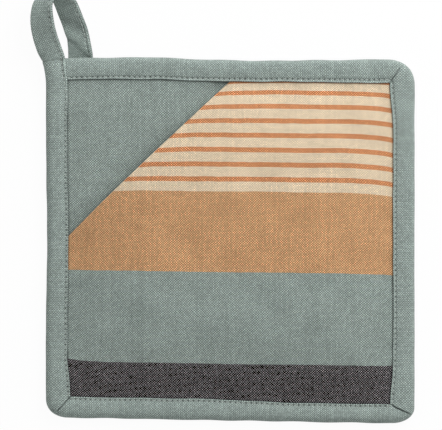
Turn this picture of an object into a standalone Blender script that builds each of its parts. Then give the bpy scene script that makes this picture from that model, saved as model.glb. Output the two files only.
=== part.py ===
"""A square sewn pot holder with a hand pocket, lying on its back with the pocket up.

Metres, +Z up, +X to the pad's right and +Y to its top. The origin is the centre of the flat underside
of the back panel. Each cloth is laid out on a true rounded rectangle, and sewn_plan then gives the
whole pad the slightly uneven edges of hand-guided sewing.
"""

import math

import bmesh
import bpy
from mathutils import Vector

# Plan of the pad, measured over its binding.
PAD_WIDTH = 0.200
PAD_HEIGHT = 0.1965
TOP_RIGHT_RADIUS = 0.0125
TOP_LEFT_RADIUS = 0.0040
BOTTOM_LEFT_RADIUS = 0.0100
BOTTOM_RIGHT_RADIUS = 0.0105
TOP_SAG = 0.0012
BOTTOM_DROP = 0.0035

# The top edge bulges between the loop and the mouth's end, and the left edge is drawn in at its other end.
TOP_BULGE = 0.0016
TOP_BULGE_X = -0.048
TOP_BULGE_SPREAD = 0.036
LEFT_DRAW = 0.0007
LEFT_DRAW_SPREAD = 0.028
EDGE_FADE = 0.035

# Thicknesses of the cloths and the filling, and the clearance between pieces that touch.
CLOTH = 0.00045
TAPE = 0.0006
WADDING_AT_SEAM = 0.0010
WADDING_LOFT = 0.0050
CLEARANCE = 0.0003

# The binding tape: how far it reaches in over each face, and the groove its sewing pulls in it.
BINDING_WIDTH = 0.0117
STITCH_INSET = 0.0016
GROOVE_DEPTH = 0.0002
GROOVE_HALF_WIDTH = 0.0005
MITRE_DEPTH = 0.0003
MITRE_RADIUS = 0.0003

# How the layers swell from the sewn rim to the middle.
RISE_LENGTH = 0.016
CROWN = 0.0050
CROWN_LENGTH = 0.045

# The pocket's mouth is a straight fold. Its ends are measured from the pad's left and top edges.
MOUTH_ACROSS = 0.0997
MOUTH_DOWN = 0.0970
FOLD_GAP = 0.0003
FOLD_MARGIN = 0.00025
MOUTH_STEP = 0.0060

# Woven fields of the pocket cloth, measured down from the pad's top edge.
CREAM_END = 0.0710
TAN_END = 0.1151
SAGE_END = 0.1655
STRIPE_PITCH = 0.0078
STRIPE_WIDTH = 0.0026
LAST_STRIPE = 0.0064
STRIPE_COUNT = 8

# The hanging loop: the same tape folded flat, from the front of the corner over to the back.
LOOP_WIDTH = 0.0134
LOOP_ROOT_WIDTH = 0.0109
LOOP_INSET = 0.0036
LOOP_SPREAD = 0.0151
LOOP_REACH = 0.0352
LOOP_RISE = 0.0156
LOOP_SEAT = 0.0090
LAP_SETBACK = 0.0005
LAP_FADE = 0.0150
LAP_BITE = 0.0003
LAP_WRAP = 0.75
SEAM_BITE = 0.0001
LOOP_THICK = 2 * TAPE
LAP_ROOT_THICK = 0.8 * TAPE

# The loop's course from the front strand to the back one: shares of its spread, reach and rise, and
# the angle by which its stitched right edge is lifted, in degrees.
LOOP_COURSE = (
    (-0.13, 0.16, 0.57, 0),
    (-0.25, 0.33, 0.76, 4),
    (-0.335, 0.51, 0.93, 14),
    (-0.36, 0.69, 1.00, 28),
    (-0.31, 0.845, 0.95, 36),
    (-0.14, 0.96, 0.81, 38),
    (0.08, 1.00, 0.60, 36),
    (0.29, 0.94, 0.40, 30),
    (0.46, 0.84, 0.28, 22),
    (0.59, 0.71, 0.22, 20),
    (0.76, 0.53, 0.18, 24),
    (0.90, 0.34, 0.16, 25),
    (0.97, 0.17, 0.10, 15),
    (1.00, 0.02, 0.00, 3),
)

# Places across the loop's strand as shares of its width, and the share of the wrap each takes.
RIBBON_SHARES = ((-0.5, 1.0), (-0.3, 0.25), (0.0, 0.0), (0.5, 0.0))

# How far the lap has widened from its root to the full strand at the pocket's seam, midway and the edge.
LAP_WIDENING = (0.0, 0.15, 0.65)

# Finish of the mesh. FOLD_NOSE is where the mouth's round fold starts, as a share of its radius.
FOLD_NOSE = 0.06
CORNER_STEPS = 6
EDGE_SHARES = (0.09, 0.25, 0.42, 0.58, 0.75, 0.91)
FIELD_STEP = 0.019
LOOP_STEPS = 3

# Heights that follow from the stack of layers in the binding.
BINDING_BOTTOM = LOOP_THICK - SEAM_BITE
BACK_RIM = BINDING_BOTTOM + TAPE + CLEARANCE
WADDING_RIM = BACK_RIM + CLOTH + CLEARANCE
LINING_RIM = WADDING_RIM + WADDING_AT_SEAM + CLEARANCE
POCKET_THICK = 2 * CLOTH + FOLD_GAP
POCKET_RIM = LINING_RIM + CLOTH + CLEARANCE
BINDING_TOP = POCKET_RIM + POCKET_THICK + CLEARANCE + TAPE
BINDING_ROUND = (BINDING_TOP - BINDING_BOTTOM) / 2
BINDING_MIDDLE = BINDING_BOTTOM + BINDING_ROUND
OPEN_LINING_RIM = BINDING_TOP - TAPE - CLEARANCE - CLOTH
LINING_MIDDLE = CLOTH + WADDING_LOFT + 2 * CLEARANCE

# Where the straight sides of the cloths end inside the tape, and where the pocket's two halves meet.
CLOTH_INSET = BINDING_ROUND
FOLD_WALL = CLOTH + FOLD_MARGIN

# Right edge of the loop's strand where it leaves the left strip of the binding, clear of that strip's
# seam, where it lies over the top strip's end, and where it leaves the pad.
LAP_START = BINDING_WIDTH - STITCH_INSET - 2 * GROOVE_HALF_WIDTH
LAP_EDGE = BINDING_WIDTH - LAP_SETBACK
LAP_END = LOOP_INSET + LOOP_WIDTH / 2

CREAM = "cream_cloth"
ORANGE = "orange_stripe"
TAN = "tan_cloth"
SAGE = "sage_field"
CHARCOAL = "charcoal_cloth"


def clear_scene():
    for obj in list(bpy.data.objects):
        bpy.data.objects.remove(obj)


def material(name, colour, roughness=0.9):
    """A matt cloth material of this sRGB colour, given as 0 to 255."""
    made = bpy.data.materials.new(name)
    made.use_nodes = True
    shader = made.node_tree.nodes["Principled BSDF"]
    linear = [(value / 255) ** 2.2 for value in colour]
    shader.inputs["Base Color"].default_value = (*linear, 1.0)
    shader.inputs["Roughness"].default_value = roughness
    shader.inputs["Metallic"].default_value = 0.0
    return made


def smoothstep(value):
    held = min(max(value, 0.0), 1.0)
    return held * held * (3 - 2 * held)


def mix(low, high, share):
    return low + (high - low) * share


def hump(distance, spread):
    """1 at no distance, falling smoothly to 0 at about twice the spread."""
    return math.exp(-((distance / spread) ** 2))


def sewn_plan(x, y):
    """A place on the true rectangle moved to where the sewing leaves it."""
    right = max(-0.5, min(0.5, x / PAD_WIDTH))
    low = max(0.0, min(1.0, 0.5 - y / PAD_HEIGHT))
    sag = TOP_SAG * (1 - 4 * right * right) * (1 - low)
    near_top = 1 - smoothstep((PAD_HEIGHT / 2 - y) / EDGE_FADE)
    bulge = TOP_BULGE * hump(x - TOP_BULGE_X, TOP_BULGE_SPREAD) * near_top
    near_left = 1 - smoothstep((x + PAD_WIDTH / 2) / EDGE_FADE)
    drawn = LEFT_DRAW * hump(y, LEFT_DRAW_SPREAD) * near_left
    return x + drawn, y + bulge - sag - BOTTOM_DROP * right * low


def side_distances(x, y):
    """How far a place lies inside each edge of the pad: left, right, bottom, top."""
    half_width = PAD_WIDTH / 2
    half_height = PAD_HEIGHT / 2
    return x + half_width, half_width - x, y + half_height, half_height - y


def swell(x, y, length):
    """0 under the tape, 1 once a place lies this far inside it from every side."""
    share = 1.0
    for distance in side_distances(x, y):
        share *= smoothstep((distance - BINDING_WIDTH) / length)
    return share


def mouth_line():
    """A point on the mouth's fold and the unit vector across it, towards the pocket."""
    top_end = Vector((MOUTH_ACROSS - PAD_WIDTH / 2, PAD_HEIGHT / 2 - BINDING_WIDTH))
    left_end = Vector((BINDING_WIDTH - PAD_WIDTH / 2, PAD_HEIGHT / 2 - MOUTH_DOWN))
    along = (top_end - left_end).normalized()
    return left_end, Vector((along.y, -along.x))


def mouth_distance(x, y):
    """Distance from the mouth's fold, positive under the pocket."""
    point, across = mouth_line()
    return (Vector((x, y)) - point).dot(across)


# Heights of the layers over a place in the plan.


def back_under(x, y):
    return mix(BACK_RIM, 0.0, swell(x, y, RISE_LENGTH))


def back_over(x, y):
    return back_under(x, y) + CLOTH


def wadding_under(x, y):
    return back_over(x, y) + CLEARANCE


def wadding_over(x, y):
    return lining_under(x, y) - CLEARANCE


def lining_under(x, y):
    """The lining is pulled down under the pocket's edges, and lies higher where there is no pocket."""
    outside = smoothstep((-mouth_distance(x, y) - MOUTH_STEP / 2) / MOUTH_STEP)
    rim = mix(LINING_RIM, OPEN_LINING_RIM, outside)
    return mix(rim, LINING_MIDDLE, swell(x, y, RISE_LENGTH))


def lining_over(x, y):
    return lining_under(x, y) + CLOTH


def pocket_seat(x, y):
    """Underside of the pocket: on the lining at the seams and standing off it between them."""
    lining = mix(LINING_RIM, LINING_MIDDLE, swell(x, y, RISE_LENGTH)) + CLOTH
    return lining + CLEARANCE + CROWN * swell(x, y, CROWN_LENGTH)


def fold_half_thickness(x, y):
    """Half the pocket's thickness, which rounds off to the mouth's fold."""
    radius = POCKET_THICK / 2
    inside = min(max(mouth_distance(x, y), FOLD_NOSE * radius), radius)
    return math.sqrt(radius * radius - (radius - inside) ** 2)


def pocket_under(x, y):
    return pocket_seat(x, y) + POCKET_THICK / 2 - fold_half_thickness(x, y)


def pocket_over(x, y):
    return pocket_seat(x, y) + POCKET_THICK / 2 + fold_half_thickness(x, y)


def slot_under(x, y):
    return pocket_seat(x, y) + CLOTH


def slot_over(x, y):
    return slot_under(x, y) + FOLD_GAP


def ring(inset):
    """Points round the pad this far inside its edge. The corners lose their radius as they go in."""
    corners = (
        (1, 1, TOP_RIGHT_RADIUS),
        (-1, 1, TOP_LEFT_RADIUS),
        (-1, -1, BOTTOM_LEFT_RADIUS),
        (1, -1, BOTTOM_RIGHT_RADIUS),
    )
    arcs = []
    for index, (right, up, outer_radius) in enumerate(corners):
        radius = max(outer_radius - inset, MITRE_RADIUS)
        centre_x = right * (PAD_WIDTH / 2 - inset - radius)
        centre_y = up * (PAD_HEIGHT / 2 - inset - radius)
        arc = []
        for step in range(CORNER_STEPS + 1):
            angle = math.radians(90) * (index + step / CORNER_STEPS)
            arc.append((centre_x + radius * math.cos(angle), centre_y + radius * math.sin(angle)))
        arcs.append(arc)
    points = []
    for index, arc in enumerate(arcs):
        points += arc
        start = arc[-1]
        end = arcs[(index + 1) % len(arcs)][0]
        for share in EDGE_SHARES:
            points.append((mix(start[0], end[0], share), mix(start[1], end[1], share)))
    return points


def rim_lines(low, high):
    """Where the layers bend near two opposite sides, and even steps between."""
    shares = (0.0, 0.3, 0.65, 1.0)
    near = [BINDING_WIDTH + RISE_LENGTH * share for share in shares]
    first = low + near[-1]
    last = high - near[-1]
    count = max(1, round((last - first) / FIELD_STEP))
    between = [mix(first, last, step / count) for step in range(1, count)]
    return [low + distance for distance in near] + between + [high - distance for distance in near]


def stripe_edges():
    """Distances from the top edge where the pocket cloth changes colour, and the stripes' spans."""
    spans = []
    for index in range(STRIPE_COUNT):
        middle = CREAM_END - LAST_STRIPE - index * STRIPE_PITCH
        spans.append((middle - STRIPE_WIDTH / 2, middle + STRIPE_WIDTH / 2))
    edges = [edge for span in spans for edge in span if edge > CLOTH_INSET]
    return edges + [CREAM_END, TAN_END, SAGE_END], spans


def field_at(down):
    """Name of the woven field this far below the pad's top edge."""
    _, spans = stripe_edges()
    if any(start < down < end for start, end in spans):
        return ORANGE
    for name, end in ((CREAM, CREAM_END), (TAN, TAN_END), (SAGE, SAGE_END)):
        if down < end:
            return name
    return CHARCOAL


def cut(mesh, point, normal, keep_inside=False):
    """Scores the flat mesh along a line, and drops what lies behind it if asked."""
    bmesh.ops.bisect_plane(
        mesh,
        geom=list(mesh.verts) + list(mesh.edges) + list(mesh.faces),
        dist=1e-7,
        plane_co=(*point, 0.0),
        plane_no=(*normal, 0.0),
        clear_inner=keep_inside,
    )


def flat_cloth(inset, mouth_offsets, rows=(), kept_from=None):
    """A flat face the shape of the pad, scored where the layers bend and the colours change."""
    mesh = bmesh.new()
    mesh.faces.new([mesh.verts.new((x, y, 0.0)) for x, y in ring(inset)])
    point, across = mouth_line()
    if kept_from is not None:
        cut(mesh, point + across * kept_from, across, keep_inside=True)
    for x in rim_lines(-PAD_WIDTH / 2, PAD_WIDTH / 2):
        cut(mesh, (x, 0.0), (1.0, 0.0))
    for y in [*rim_lines(-PAD_HEIGHT / 2, PAD_HEIGHT / 2), *rows]:
        cut(mesh, (0.0, y), (0.0, 1.0))
    for offset in mouth_offsets:
        cut(mesh, point + across * offset, across)
    return mesh


def thicken(mesh, under, over):
    """Turns the flat cloth into a closed layer between two heights, in the sewn plan."""
    lower = list(mesh.verts)
    grown = bmesh.ops.extrude_face_region(mesh, geom=list(mesh.faces))["geom"]
    upper = [vert for vert in grown if isinstance(vert, bmesh.types.BMVert)]
    for verts, height in ((lower, under), (upper, over)):
        for vert in verts:
            x, y, _ = vert.co
            vert.co = (*sewn_plan(x, y), height(x, y))
    bmesh.ops.recalc_face_normals(mesh, faces=list(mesh.faces))


def add_object(name, mesh, materials, home):
    data = bpy.data.meshes.new(name)
    bmesh.ops.triangulate(mesh, faces=[face for face in mesh.faces if len(face.verts) > 4])
    mesh.to_mesh(data)
    mesh.free()
    for slot in materials:
        data.materials.append(slot)
    data.shade_smooth()
    data.set_sharp_from_angle(angle=math.radians(40))
    obj = bpy.data.objects.new(name, data)
    home.objects.link(obj)
    return obj


def make_cutter(obj):
    obj.hide_render = True
    obj.display_type = "WIRE"


def add_boolean(obj, other, operation):
    modifier = obj.modifiers.new(f"{operation.lower()}_{other.name}", "BOOLEAN")
    modifier.operation = operation
    modifier.object = other


def make_back_panel(home, sage):
    mesh = flat_cloth(CLOTH_INSET, ())
    thicken(mesh, back_under, back_over)
    return add_object("back_panel", mesh, [sage], home)


def make_wadding(home, batting):
    mesh = flat_cloth(CLOTH_INSET, mouth_step_lines())
    thicken(mesh, wadding_under, wadding_over)
    return add_object("wadding", mesh, [batting], home)


def make_lining(home, sage):
    mesh = flat_cloth(CLOTH_INSET, mouth_step_lines())
    thicken(mesh, lining_under, lining_over)
    return add_object("lining", mesh, [sage], home)


def mouth_step_lines():
    """The lines beside the mouth where the lining steps up to its open level."""
    return [-MOUTH_STEP * share for share in (0.5, 1.0, 1.5)]


def make_front_pocket(home, tools, fields):
    """The striped cloth, double, with a round fold at the mouth and a slot between its two halves."""
    edges, _ = stripe_edges()
    rows = [PAD_HEIGHT / 2 - edge for edge in edges]
    nose = POCKET_THICK / 2
    mesh = flat_cloth(CLOTH_INSET, (0.2 * nose, 0.5 * nose, nose), rows, kept_from=0.0)
    names = list(fields)
    for face in mesh.faces:
        down = PAD_HEIGHT / 2 - face.calc_center_median().y
        face.material_index = names.index(field_at(down))
    thicken(mesh, pocket_under, pocket_over)
    pocket = add_object("front_pocket", mesh, list(fields.values()), home)

    overrun = CLOTH_INSET - 2 * CLEARANCE
    slot_mesh = flat_cloth(overrun, (), rows, kept_from=FOLD_WALL)
    thicken(slot_mesh, slot_under, slot_over)
    slot = add_object("fold_slot", slot_mesh, [], tools)
    make_cutter(slot)
    add_boolean(pocket, slot, "DIFFERENCE")
    return pocket


def binding_profile():
    """The tape's section as (inset, height, crease), round its outside and back along its inside.

    crease is the direction in which a mitre's fold is pressed in: down on the front, up on the back.
    """
    seam = BINDING_WIDTH - STITCH_INSET
    edge = TAPE / 3
    face = (
        (BINDING_WIDTH, TAPE / 2),
        (BINDING_WIDTH - edge, 0.0),
        (seam + GROOVE_HALF_WIDTH, 0.0),
        (seam, GROOVE_DEPTH),
        (seam - GROOVE_HALF_WIDTH, 0.0),
        (mix(BINDING_ROUND, seam, 0.5), 0.0),
    )
    profile = [(inset, BINDING_TOP - depth, -1) for inset, depth in face]
    profile += arc_profile(BINDING_ROUND, 6, 1)
    profile += [(inset, BINDING_BOTTOM + depth, 1) for inset, depth in reversed(face)]
    profile.append((BINDING_WIDTH - edge, BINDING_BOTTOM + TAPE, 0))
    profile += arc_profile(BINDING_ROUND - TAPE, 4, -1)
    profile.append((BINDING_WIDTH - edge, BINDING_TOP - TAPE, 0))
    return profile


def arc_profile(radius, steps, direction):
    """A half round about the fold of the tape, from front to back or the other way."""
    points = []
    for step in range(steps + 1):
        angle = math.radians(90) * direction * (1 - 2 * step / steps)
        inset = BINDING_ROUND - radius * math.cos(angle)
        points.append((inset, BINDING_MIDDLE + radius * math.sin(angle), 0))
    return points


def mitre_indices():
    """Places in a ring where the tape is folded to turn a corner. The top left one has no mitre."""
    per_corner = CORNER_STEPS + 1 + len(EDGE_SHARES)
    return [corner * per_corner + CORNER_STEPS // 2 for corner in (0, 2, 3)]


def make_binding_tape(home, tools, sage):
    """The U-section round the edge, lofted between rings, with the loop joined to it."""
    mesh = bmesh.new()
    mitres = mitre_indices()
    rings = []
    for inset, height, crease in binding_profile():
        verts = []
        for index, (x, y) in enumerate(ring(inset)):
            pressed = MITRE_DEPTH * crease if index in mitres else 0.0
            verts.append(mesh.verts.new((*sewn_plan(x, y), height + pressed)))
        rings.append(verts)
    for current, after in zip(rings, rings[1:] + rings[:1]):
        for index in range(len(current)):
            following = (index + 1) % len(current)
            mesh.faces.new((current[index], current[following], after[following], after[index]))
    bmesh.ops.recalc_face_normals(mesh, faces=list(mesh.faces))
    tape = add_object("binding_tape", mesh, [sage], home)
    add_boolean(tape, make_loop(tools), "UNION")
    return tape


def loop_course():
    """Points of the loop's middle line as (x, y, z, width, thickness, tilt, wrap).

    wrap is how far the strand's folded left edge drops to follow the binding's rounded edge.
    """
    corner_x = LOOP_INSET - PAD_WIDTH / 2
    edge_y = PAD_HEIGHT / 2
    inner_y = edge_y - BINDING_WIDTH
    front = BINDING_TOP + LOOP_THICK / 2 - LAP_BITE
    wrap = BINDING_ROUND * LAP_WRAP
    start_width = LAP_START - BINDING_ROUND
    widths = [mix(LOOP_ROOT_WIDTH, LOOP_WIDTH, share) for share in LAP_WIDENING]
    lap = (
        (inner_y - LAP_FADE, BINDING_TOP - TAPE / 2, LAP_START, start_width, LAP_ROOT_THICK, 0),
        (inner_y, front, LAP_EDGE, widths[0], LOOP_THICK, wrap),
        ((inner_y + edge_y) / 2, front, LAP_EDGE, widths[1], LOOP_THICK, wrap),
        (edge_y, front, LAP_END, widths[2], LOOP_THICK, wrap / 2),
    )
    points = []
    for y, height, right_edge, width, thickness, dropped in lap:
        lap_x = right_edge - width / 2 - PAD_WIDTH / 2
        points.append((lap_x, y, height, width, thickness, 0, dropped))
    for across, along, up, tilt in LOOP_COURSE:
        resting = (LOOP_THICK + LOOP_WIDTH * math.sin(math.radians(tilt)) + CLEARANCE) / 2
        height = max(resting, LOOP_THICK / 2 + up * LOOP_RISE)
        place = (corner_x + across * LOOP_SPREAD, edge_y + along * LOOP_REACH, height)
        points.append((*place, LOOP_WIDTH, LOOP_THICK, tilt, 0))
    seat_height = LOOP_THICK / 2 + SEAM_BITE
    for share in (0.5, 1.0):
        place = (corner_x + LOOP_SPREAD, edge_y - LOOP_SEAT * share, seat_height)
        points.append((*place, LOOP_WIDTH, LOOP_THICK, 0, 0))
    return [Vector(point) for point in points]


def smooth_through(points, steps):
    """A smooth curve through the points, each span of it in this many steps."""
    ends = [2 * points[0] - points[1], *points, 2 * points[-1] - points[-2]]
    curve = []
    for before, start, end, after in zip(ends, ends[1:], ends[2:], ends[3:]):
        for step in range(steps):
            t = step / steps
            linear = (end - before) * t
            square = (2 * before - 5 * start + 4 * end - after) * t * t
            cube = (3 * start - 3 * end + after - before) * t ** 3
            curve.append(start + (linear + square + cube) / 2)
    return [*curve, points[-1]]


def make_loop(tools):
    """The tape as an open ribbon, thickened to its folded thickness."""
    course = smooth_through(loop_course(), LOOP_STEPS)
    places = [Vector(point[:3]) for point in course]
    mesh = bmesh.new()
    rows = []
    for index, (*_, width, _, tilt, wrap) in enumerate(course):
        before = places[max(index - 1, 0)]
        after = places[min(index + 1, len(places) - 1)]
        tangent = (after - before).normalized()
        lifted = Vector((math.cos(math.radians(tilt)), 0.0, math.sin(math.radians(tilt))))
        across = (lifted - lifted.dot(tangent) * tangent).normalized()
        sides = []
        for share, dropped in RIBBON_SHARES:
            place = places[index] + across * width * share
            sides.append(mesh.verts.new((*sewn_plan(place.x, place.y), place.z - wrap * dropped)))
        rows.append(sides)
    for current, after in zip(rows, rows[1:]):
        for side in range(len(current) - 1):
            mesh.faces.new((current[side], current[side + 1], after[side + 1], after[side]))
    ribbon = add_object("loop_ribbon", mesh, [], tools)
    group = ribbon.vertex_groups.new(name="thickness")
    for index, point in enumerate(course):
        indices = [index * len(RIBBON_SHARES) + side for side in range(len(RIBBON_SHARES))]
        group.add(indices, min(point[4] / LOOP_THICK, 1.0), "REPLACE")
    solidify = ribbon.modifiers.new("folded_tape", "SOLIDIFY")
    solidify.thickness = LOOP_THICK
    solidify.offset = 0.0
    solidify.vertex_group = group.name
    make_cutter(ribbon)
    return ribbon


def build():
    clear_scene()
    home = bpy.data.collections.new("pot_holder")
    tools = bpy.data.collections.new("pot_holder_tools")
    for collection in (home, tools):
        bpy.context.scene.collection.children.link(collection)
    fields = {
        CREAM: material(CREAM, (221, 203, 173)),
        ORANGE: material(ORANGE, (203, 145, 103)),
        TAN: material(TAN, (189, 149, 109)),
        SAGE: material(SAGE, (137, 149, 144)),
        CHARCOAL: material(CHARCOAL, (75, 73, 73)),
    }
    make_back_panel(home, material("back_cloth", (137, 149, 144)))
    make_wadding(home, material("batting", (225, 221, 210)))
    make_lining(home, material("lining_cloth", (135, 147, 141)))
    make_front_pocket(home, tools, fields)
    make_binding_tape(home, tools, material("binding_cloth", (139, 151, 146)))


build()
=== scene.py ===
"""The looks of the pot holder: woven cloths, bound edge, hanging loop and topstitching.

Metres, in the frame of the solids: +Z is up out of the pocket side and +Y is the side with the loop.
Each cloth is laid out on a true rounded rectangle. along_tape and sewn_plan give it the slightly
uneven edges of hand-guided sewing. Cloth coordinates, which the weave follows, are in millimetres.
"""

import math

import bmesh
import bpy
import numpy as np
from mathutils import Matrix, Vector


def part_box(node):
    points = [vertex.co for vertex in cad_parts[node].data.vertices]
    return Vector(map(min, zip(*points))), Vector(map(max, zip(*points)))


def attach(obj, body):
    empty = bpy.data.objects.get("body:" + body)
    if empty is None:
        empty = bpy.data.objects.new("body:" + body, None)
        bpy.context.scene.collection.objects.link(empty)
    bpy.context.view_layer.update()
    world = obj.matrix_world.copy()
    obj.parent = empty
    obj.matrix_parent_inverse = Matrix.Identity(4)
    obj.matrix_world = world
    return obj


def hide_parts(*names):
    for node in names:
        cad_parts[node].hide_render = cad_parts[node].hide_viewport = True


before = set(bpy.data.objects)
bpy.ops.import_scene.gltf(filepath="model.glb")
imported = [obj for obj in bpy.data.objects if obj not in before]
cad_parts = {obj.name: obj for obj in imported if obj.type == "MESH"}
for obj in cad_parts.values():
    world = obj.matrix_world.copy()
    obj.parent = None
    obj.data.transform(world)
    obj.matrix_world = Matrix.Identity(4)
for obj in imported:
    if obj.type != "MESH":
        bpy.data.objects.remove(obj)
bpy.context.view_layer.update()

MM = 0.001

# Plan of the pad over its binding, from the box of the cloth that ends inside the tape.
EDGE_INSET = 0.0029
back_low, back_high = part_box("back_panel")
PAD_WIDTH = back_high[0] - back_low[0] + 2 * EDGE_INSET
PAD_HEIGHT = 0.1965
TOP_SAG = 0.0012
BOTTOM_DROP = 0.0035
TOP_BULGE = 0.0016
TOP_BULGE_X = -0.048
TOP_BULGE_SPREAD = 0.036
LEFT_DRAW = 0.0007
LEFT_DRAW_SPREAD = 0.028
EDGE_FADE = 0.035
# How much further in than its width the tape's inner edge lies at the lower left, the upper and the
# lower right, and on the top and the bottom, where it grows from one x to another.
WIDER_LEFT_LOW = 0.0016
WIDER_RIGHT_HIGH = 0.0019
WIDER_RIGHT_LOW = 0.0015
WIDER_FADE = 0.026
WIDER_TOP = 0.0013
WIDER_TOP_SPAN = (0.020, 0.090)
WIDER_BOTTOM = -0.0014
WIDER_BOTTOM_SPAN = (-0.020, 0.040)
# Right or left, top or bottom, and radius, in the order in which the binding goes round.
CORNERS = ((1, 1, 0.0125), (-1, 1, 0.0040), (-1, -1, 0.0100), (1, -1, 0.0105))

# Cloth and tape.
CLOTH = 0.00045
TAPE = 0.0006
GAP = 0.0003
BINDING_WIDTH = 0.0117
BINDING_BOTTOM = 0.0011
BINDING_TOP = 0.0069
BINDING_ROUND = (BINDING_TOP - BINDING_BOTTOM) / 2
BINDING_MIDDLE = BINDING_BOTTOM + BINDING_ROUND
BINDING_CROWN = 0.0009
SEAM = 0.0013
# Distance of the seam from the tape's inner edge at the start and the end of the top, left, bottom and
# right sides, in the order in which the binding goes round, and how dark the groove's painted shade is.
SEAMS = ((0.0018, 0.0011, 0.35), (0.0010, 0.0011, 0.65), (0.0014, 0.0010, 0.45), (0.0012, 0.0015, 0.35))
GROOVE = 0.00028
GROOVE_SPREAD = 0.00045
HOLE = 0.00030
# The ridge between the tape's edge and the seam, and its place as a share of the way to the seam.
RIDGE = 0.00014
RIDGE_SPREAD = 0.0005
RIDGE_AT = 0.45
# How far in from its edge the folded tape is rounded.
EDGE_ROUND = 0.00025
# Painted shade at the tape's edge, in the holes and in a mitre, and a painted highlight on the ridge.
EDGE_PAINTED_SHADE = 0.45
HOLE_PAINTED_SHADE = 0.72
RIDGE_PAINTED_HIGHLIGHT = 0.28
MITRE_PAINTED_SHADE = 0.65
MITRE_LAP = 0.0002
# Where each mitre's fold lies in its corner's fan, its depth and width, and how near the edge it ends.
MITRES = {
    0: (0.600, 0.0007, 0.00030, 0.0030),
    2: (0.600, 0.0007, 0.00025, 0.0022),
    3: (0.675, 0.0011, 0.00040, 0.0016),
}

# Heights of the layers at the rim and in the middle of the pad.
BACK_RIM = 0.0020
LINING_RIM = 0.00405
OPEN_LINING_RIM = 0.00555
LINING_MIDDLE = 0.00605
RISE_LENGTH = 0.016
CROWN = 0.0050
CROWN_LENGTH = 0.045
# Gathers that the seam draws up: how far in from the tape, over what width, how long and how high.
PUCKER_PLACE = 0.0015
PUCKER_SPREAD = 0.0045
PUCKER_LENGTH = 0.0075
PUCKER_HEIGHT = 0.00016
# Unevenness of the cloths' heights, the strip's padding, its inner and outer edge, the pocket's rows
# and the loop: seed, length and height of the ripples.
LINING_RIPPLES = ((3, 0.030, 0.00022), (4, 0.012, 0.00006))
POCKET_RIPPLES = ((5, 0.034, 0.00030), (6, 0.013, 0.00008))
STRIP_RIPPLES = (32, 0.014, 0.00013)
EDGE_WAVES = (33, 0.020, 0.00014)
EDGE_PUFFS = (34, 0.017, 0.00012)
ROW_RIPPLES = (21, 0.045, 0.00012)
LOOP_RIPPLES = (42, 0.012, 0.00010)
# Painted shade beside the tape and the mouth's fold: how much darker it is, and how far that reaches.
TAPE_SHADE = 0.55
TAPE_SHELTER = 0.0006
MOUTH_SHADE = 0.20
MOUTH_SHELTER = 0.0035

# The pocket and its mouth.
POCKET_THICK = 2 * CLOTH + GAP
MOUTH_ACROSS = 0.0997
MOUTH_DOWN = 0.0970
MOUTH_BOW = 0.0007
BOW_REACH = 0.012
MOUTH_STEP = 0.0060

# Woven fields of the pocket cloth, down from the pad's top edge.
CREAM_END = 0.0710
TAN_END = 0.1151
SAGE_END = 0.1655
STRIPE_PITCH = 0.0080
WEFT_PITCH = STRIPE_PITCH / 12
WARP_PITCH = 0.00068
STRIPE_WIDTH = 4 * WEFT_PITCH
FIRST_STRIPE = 11 * WEFT_PITCH
RIB_PITCH = 0.0011
# How far the cloth's rows are pulled at a seam or the mouth, and the length over which that fades.
# The spans are the distances down from the top edge between which a pull sets in or ends.
LEFT_PULL = (0.0013, 0.009)
LEFT_PULL_SPAN = (0.130, 0.160)
RIGHT_PULLS = ((0.0024, 0.027), (0.0009, 0.004))
RIGHT_PULL_SPAN = (0.075, 0.150)
TOP_PULL = (0.0016, 0.002)
TOP_DRAW = 0.0010
TOP_DRAW_REACH = 0.032
MOUTH_PULL = (0.0013, 0.006)

# The threads' unevenness, with rates in waves for each millimetre. For each way of the cloth: the
# threads' pitch, the rates across and along them at which they wander together, by how many threads
# they wander, by how many they bunch up, and where their count starts.
WARP = (WARP_PITCH, (0.11, 0.11), 1.4, 0.4, 0.0)
WEFT = (WEFT_PITCH, (0.09, 0.13), 0.7, 0.25, -0.475)
BUNCH_ACROSS = 0.9
BUNCH_ALONG = 0.15
SLUBS_ALONG = 0.16
SLUBS_APART = 7.3
THREAD_VARIETY = 0.4
STREAKS = 0.16
# How steeply a raised thread falls away along its run and across it.
THREAD_ARCH = 1.0
THREAD_ROUND = 3.6
# How bright the painted shade in the gaps between the threads is, and the painted light on their tops.
BETWEEN_THREADS = 0.62
ON_THREADS = 1.07
# Soft clouds of lighter and darker cloth.
CLOUD_RATE = 0.07
CLOUDS = 0.12

# Topstitching.
STITCH_PITCH = 0.0029
STITCH_SHARE = 0.80
THREAD = 0.00020
STATIONS_PER_STITCH = 6
THREAD_SIDES = 8
# Stations of one stitch as shares of its length from its middle, and how far it stands up there.
STITCH_STATIONS = np.linspace(-0.5, 0.5, 7)
STITCH_ARCH = np.cos(STITCH_STATIONS * math.pi) ** 0.7
THREAD_RISE = -0.0001 + 0.00026 * STITCH_ARCH
STITCH_SLANT = (-0.00006, 0.00010)
# Tacks: those of the top seam over the lap, from the left side, and the rows that hold the seat.
LAP_TACKS = (0.0092, 0.0066)
LAP_TACK = 0.0023
LAP_TACK_RISE = 0.0002
SEAT_TACK_ROWS = (0.35, 0.80)
SEAT_TACK_DEPTH = 0.00008
SEAT_TACK_RISE = 0.00012

# The hanging loop.
LOOP_WIDTH = 0.0134
LOOP_THICK = 2 * TAPE
LOOP_INSET = 0.0036
LOOP_SPREAD = 0.0151
LOOP_REACH = 0.0352
LOOP_RISE = 0.0156
LOOP_SEAT = 0.0090
# How much painted light lightens the loop over the strip of the same tape, and the shares of its length
# that its seam spans on each face.
LOOP_PAINTED_LIGHT = 1.04
LOOP_FRONT_SEAM = (0.07, 0.93)
LOOP_BACK_SEAM = (0.34, 0.99)
LAP_FADE = 0.0150
LAP_SETBACK = 0.0005
LAP_LIFT = 0.0009
LAP_SINK = 0.0006
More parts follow.
